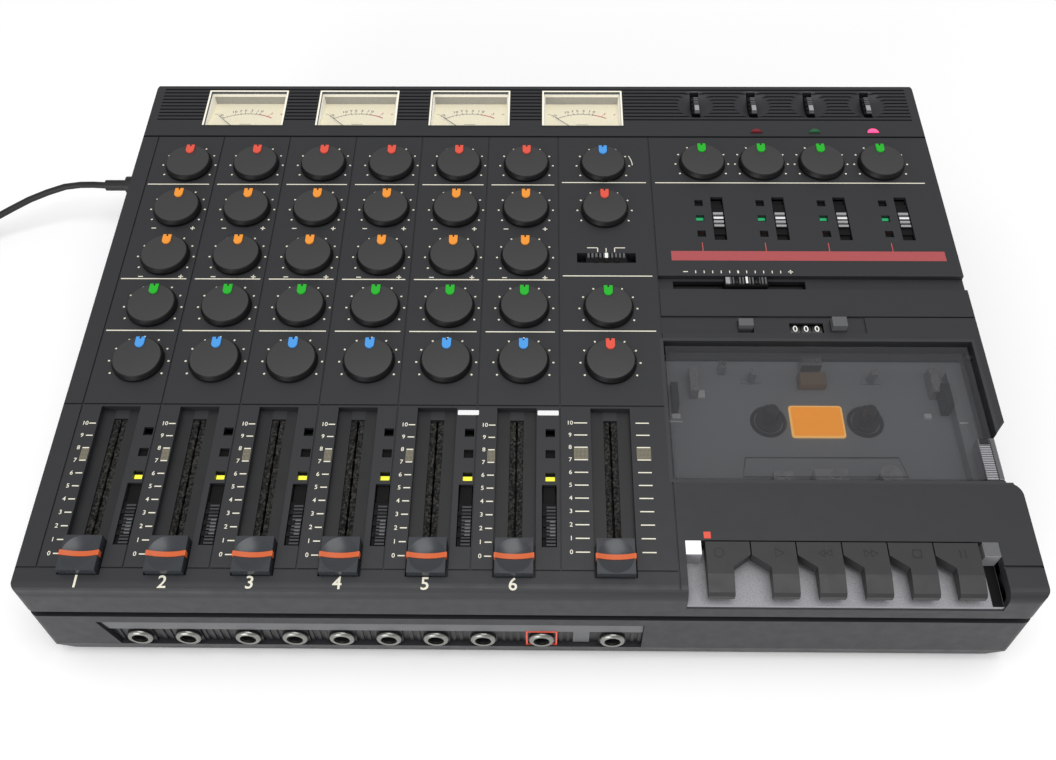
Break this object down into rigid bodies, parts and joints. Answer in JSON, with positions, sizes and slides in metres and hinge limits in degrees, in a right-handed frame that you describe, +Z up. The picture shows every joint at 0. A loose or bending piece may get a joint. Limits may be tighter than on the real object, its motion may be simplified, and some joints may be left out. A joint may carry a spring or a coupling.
{
  "type": "four track cassette recorder",
  "caption": "Sloping desktop cassette recorder with a mixer: rotary knobs, sliding faders, needle meters, a smoked lid over the tape and piano keys.",
  "frame": {"origin": "on the table under the middle of the case's footprint, the power lead left out", "axes": "+X to the right of someone at the keys, +Y to the rear, +Z up"},
  "size_m": [0.6735, 0.2886, 0.0799],
  "materials": {
    "case_plastic": "fine grained charcoal moulding",
    "dark_plastic": "charcoal moulding",
    "knob_plastic": "satin charcoal moulding",
    "black_plastic": "black moulding",
    "grey_plastic": "grey moulding",
    "light_plastic": "light grey fine textured moulding",
    "smoked_lid": "smoked clear moulding",
    "clear_window": "clear",
    "dial_card": "warm cream printed card",
    "lamp_red": "red lens",
    "board": "green circuit board",
    "steel": "plated steel",
    "foot_rubber": "black rubber",
    "lead_black": "black sleeving"
  },
  "bodies": {
    "case": {"upper_case": "case_plastic", "lower_case": "case_plastic", "rubber_feet": "foot_rubber", "meter_frames": "black_plastic", "meter_dials": "dial_card", "meter_windows": "clear_window", "indicator_lamps": "lamp_red", "jack_sockets": "black_plastic", "dc_socket": "black_plastic", "mixer_board": "board", "pot_bodies": "steel", "slider_tracks": "steel", "cassette_well": "grey_plastic", "tape_guides": "steel", "tape_heads": "steel", "transport_chassis": "steel", "key_tray": "light_plastic", "channel_knobs_2_to_6": "knob_plastic", "dc_plug": "lead_black", "power_lead": "lead_black", "lead_coil": "lead_black", "wall_adapter": "lead_black"},
    "pan_knob_1": {"pan_knob_1": "knob_plastic"},
    "effect_knob_1": {"effect_knob_1": "knob_plastic"},
    "eq_low_knob_1": {"eq_low_knob_1": "knob_plastic"},
    "eq_high_knob_1": {"eq_high_knob_1": "knob_plastic"},
    "trim_knob_1": {"trim_knob_1": "knob_plastic"},
    "sync_out_knob": {"sync_out_knob": "knob_plastic"},
    "phones_knob": {"phones_knob": "knob_plastic"},
    "effect_master_knob": {"effect_master_knob": "knob_plastic"},
    "effect_return_knob": {"effect_return_knob": "knob_plastic"},
    "tape_cue_knob_1": {"tape_cue_knob_1": "knob_plastic"},
    "tape_cue_knob_2": {"tape_cue_knob_2": "knob_plastic"},
    "tape_cue_knob_3": {"tape_cue_knob_3": "knob_plastic"},
    "tape_cue_knob_4": {"tape_cue_knob_4": "knob_plastic"},
    "fader_1": {"fader_1": "knob_plastic"},
    "fader_2": {"fader_2": "knob_plastic"},
    "fader_3": {"fader_3": "knob_plastic"},
    "fader_4": {"fader_4": "knob_plastic"},
    "fader_5": {"fader_5": "knob_plastic"},
    "fader_6": {"fader_6": "knob_plastic"},
    "fader_master": {"fader_master": "knob_plastic"},
    "input_switches": {"input_switches": "dark_plastic"},
    "record_switches": {"record_switches": "dark_plastic"},
    "mode_switches": {"mode_switches": "dark_plastic"},
    "monitor_switch": {"monitor_switch": "dark_plastic"},
    "pitch_slider": {"pitch_slider": "dark_plastic"},
    "zero_return_switch": {"zero_return_switch": "dark_plastic"},
    "reset_button": {"reset_button": "dark_plastic"},
    "counter_wheels": {"counter_wheels": "black_plastic"},
    "supply_spindle": {"supply_spindle": "black_plastic"},
    "take_up_spindle": {"take_up_spindle": "black_plastic"},
    "lid": {"cassette_lid": "smoked_lid", "lid_grip": "light_plastic"},
    "record_key": {"record_key": "dark_plastic"},
    "play_key": {"play_key": "dark_plastic"},
    "rewind_key": {"rewind_key": "dark_plastic"},
    "fast_forward_key": {"fast_forward_key": "dark_plastic"},
    "stop_key": {"stop_key": "dark_plastic"},
    "pause_key": {"pause_key": "dark_plastic"}
  },
  "joints": [
    {"name": "pan_knob_1_turn", "type": "hinge", "parent": "case", "child": "pan_knob_1", "pos_m": [-0.1729, -0.03585, 0.06553], "axis": [0, -0.0785, 0.9969], "range_deg": [-150, 150]},
    {"name": "effect_knob_1_turn", "type": "hinge", "parent": "case", "child": "effect_knob_1", "pos_m": [-0.1729, -0.00583, 0.0679], "axis": [0, -0.0785, 0.9969], "range_deg": [-150, 150]},
    {"name": "eq_low_knob_1_turn", "type": "hinge", "parent": "case", "child": "eq_low_knob_1", "pos_m": [-0.1729, 0.02418, 0.07026], "axis": [0, -0.0785, 0.9969], "range_deg": [-150, 150]},
    {"name": "eq_high_knob_1_turn", "type": "hinge", "parent": "case", "child": "eq_high_knob_1", "pos_m": [-0.1729, 0.0542, 0.07262], "axis": [0, -0.0785, 0.9969], "range_deg": [-150, 150]},
    {"name": "trim_knob_1_turn", "type": "hinge", "parent": "case", "child": "trim_knob_1", "pos_m": [-0.1729, 0.08421, 0.07498], "axis": [0, -0.0785, 0.9969], "range_deg": [-150, 150]},
    {"name": "sync_out_knob_turn", "type": "hinge", "parent": "case", "child": "sync_out_knob", "pos_m": [0.0354, 0.08421, 0.07498], "axis": [0, -0.0785, 0.9969], "range_deg": [-150, 150]},
    {"name": "phones_knob_turn", "type": "hinge", "parent": "case", "child": "phones_knob", "pos_m": [0.0354, 0.0542, 0.07262], "axis": [0, -0.0785, 0.9969], "range_deg": [-150, 150]},
    {"name": "effect_master_knob_turn", "type": "hinge", "parent": "case", "child": "effect_master_knob", "pos_m": [0.0354, -0.00583, 0.0679], "axis": [0, -0.0785, 0.9969], "range_deg": [-150, 150]},
    {"name": "effect_return_knob_turn", "type": "hinge", "parent": "case", "child": "effect_return_knob", "pos_m": [0.0354, -0.03585, 0.06553], "axis": [0, -0.0785, 0.9969], "range_deg": [-150, 150]},
    {"name": "tape_cue_knob_1_turn", "type": "hinge", "parent": "case", "child": "tape_cue_knob_1", "pos_m": [0.0851, 0.08568, 0.0751], "axis": [0, -0.0785, 0.9969], "range_deg": [-150, 150]},
    {"name": "tape_cue_knob_2_turn", "type": "hinge", "parent": "case", "child": "tape_cue_knob_2", "pos_m": [0.1149, 0.08568, 0.0751], "axis": [0, -0.0785, 0.9969], "range_deg": [-150, 150]},
    {"name": "tape_cue_knob_3_turn", "type": "hinge", "parent": "case", "child": "tape_cue_knob_3", "pos_m": [0.1447, 0.08568, 0.0751], "axis": [0, -0.0785, 0.9969], "range_deg": [-150, 150]},
    {"name": "tape_cue_knob_4_turn", "type": "hinge", "parent": "case", "child": "tape_cue_knob_4", "pos_m": [0.1745, 0.08568, 0.0751], "axis": [0, -0.0785, 0.9969], "range_deg": [-150, 150]},
    {"name": "fader_1_slide", "type": "slide", "parent": "case", "child": "fader_1", "axis": [0, 0.9969, 0.0785], "range_m": [0, 0.06]},
    {"name": "fader_2_slide", "type": "slide", "parent": "case", "child": "fader_2", "axis": [0, 0.9969, 0.0785], "range_m": [0, 0.06]},
    {"name": "fader_3_slide", "type": "slide", "parent": "case", "child": "fader_3", "axis": [0, 0.9969, 0.0785], "range_m": [0, 0.06]},
    {"name": "fader_4_slide", "type": "slide", "parent": "case", "child": "fader_4", "axis": [0, 0.9969, 0.0785], "range_m": [0, 0.06]},
    {"name": "fader_5_slide", "type": "slide", "parent": "case", "child": "fader_5", "axis": [0, 0.9969, 0.0785], "range_m": [0, 0.06]},
    {"name": "fader_6_slide", "type": "slide", "parent": "case", "child": "fader_6", "axis": [0, 0.9969, 0.0785], "range_m": [0, 0.06]},
    {"name": "fader_master_slide", "type": "slide", "parent": "case", "child": "fader_master", "axis": [0, 0.9969, 0.0785], "range_m": [0, 0.06]},
    {"name": "input_switches_slide", "type": "slide", "parent": "case", "child": "input_switches", "axis": [0, 0.9969, 0.0785], "range_m": [0, 0.0078]},
    {"name": "record_switches_slide", "type": "slide", "parent": "case", "child": "record_switches", "axis": [0, 0.9969, 0.0785], "range_m": [-0.0039, 0.0039]},
    {"name": "mode_switches_slide", "type": "slide", "parent": "case", "child": "mode_switches", "axis": [0, 0.9969, 0.0785], "range_m": [-0.003, 0.003]},
    {"name": "monitor_switch_slide", "type": "slide", "parent": "case", "child": "monitor_switch", "axis": [1, 0, 0], "range_m": [-0.0039, 0.0039]},
    {"name": "pitch_slide", "type": "slide", "parent": "case", "child": "pitch_slider", "axis": [1, 0, 0], "range_m": [-0.0229, 0.0171]},
    {"name": "zero_return_slide", "type": "slide", "parent": "case", "child": "zero_return_switch", "axis": [0, 0.9969, 0.0785], "range_m": [-0.0022, 0]},
    {"name": "reset_press", "type": "slide", "parent": "case", "child": "reset_button", "axis": [0, 0.0785, -0.9969], "range_m": [0, 0.002], "stiffness_N_per_m": 150, "springref_m": -0.001},
    {"name": "counter_turn", "type": "hinge", "parent": "case", "child": "counter_wheels", "pos_m": [0.1241, -0.01538, 0.06053], "axis": [1, 0, 0], "continuous": true},
    {"name": "supply_spindle_turn", "type": "hinge", "parent": "case", "child": "supply_spindle", "pos_m": [0.10515, -0.05587, 0.06396], "axis": [0, -0.0785, 0.9969], "continuous": true},
    {"name": "take_up_spindle_turn", "type": "hinge", "parent": "case", "child": "take_up_spindle", "pos_m": [0.14765, -0.05587, 0.06396], "axis": [0, -0.0785, 0.9969], "continuous": true},
    {"name": "lid_hinge", "type": "hinge", "parent": "case", "child": "lid", "pos_m": [0, -0.0288, 0.06158], "axis": [-1, 0, 0], "range_deg": [0, 75]},
    {"name": "record_key_press", "type": "hinge", "parent": "case", "child": "record_key", "pos_m": [0, -0.09836, 0.05189], "axis": [1, 0, 0], "range_deg": [0, 4.5], "stiffness_Nm_per_rad": 0.6, "springref_deg": -2.86},
    {"name": "play_key_press", "type": "hinge", "parent": "case", "child": "play_key", "pos_m": [0, -0.09836, 0.05189], "axis": [1, 0, 0], "range_deg": [0, 4.5], "stiffness_Nm_per_rad": 0.6, "springref_deg": -2.86},
    {"name": "rewind_key_press", "type": "hinge", "parent": "case", "child": "rewind_key", "pos_m": [0, -0.09836, 0.05189], "axis": [1, 0, 0], "range_deg": [0, 4.5], "stiffness_Nm_per_rad": 0.6, "springref_deg": -2.86},
    {"name": "fast_forward_key_press", "type": "hinge", "parent": "case", "child": "fast_forward_key", "pos_m": [0, -0.09836, 0.05189], "axis": [1, 0, 0], "range_deg": [0, 4.5], "stiffness_Nm_per_rad": 0.6, "springref_deg": -2.86},
    {"name": "stop_key_press", "type": "hinge", "parent": "case", "child": "stop_key", "pos_m": [0, -0.09836, 0.05189], "axis": [1, 0, 0], "range_deg": [0, 4.5], "stiffness_Nm_per_rad": 0.6, "springref_deg": -2.86},
    {"name": "pause_key_press", "type": "hinge", "parent": "case", "child": "pause_key", "pos_m": [0, -0.09836, 0.05189], "axis": [1, 0, 0], "range_deg": [0, 4.5], "stiffness_Nm_per_rad": 0.6, "springref_deg": -2.86}
  ]
}
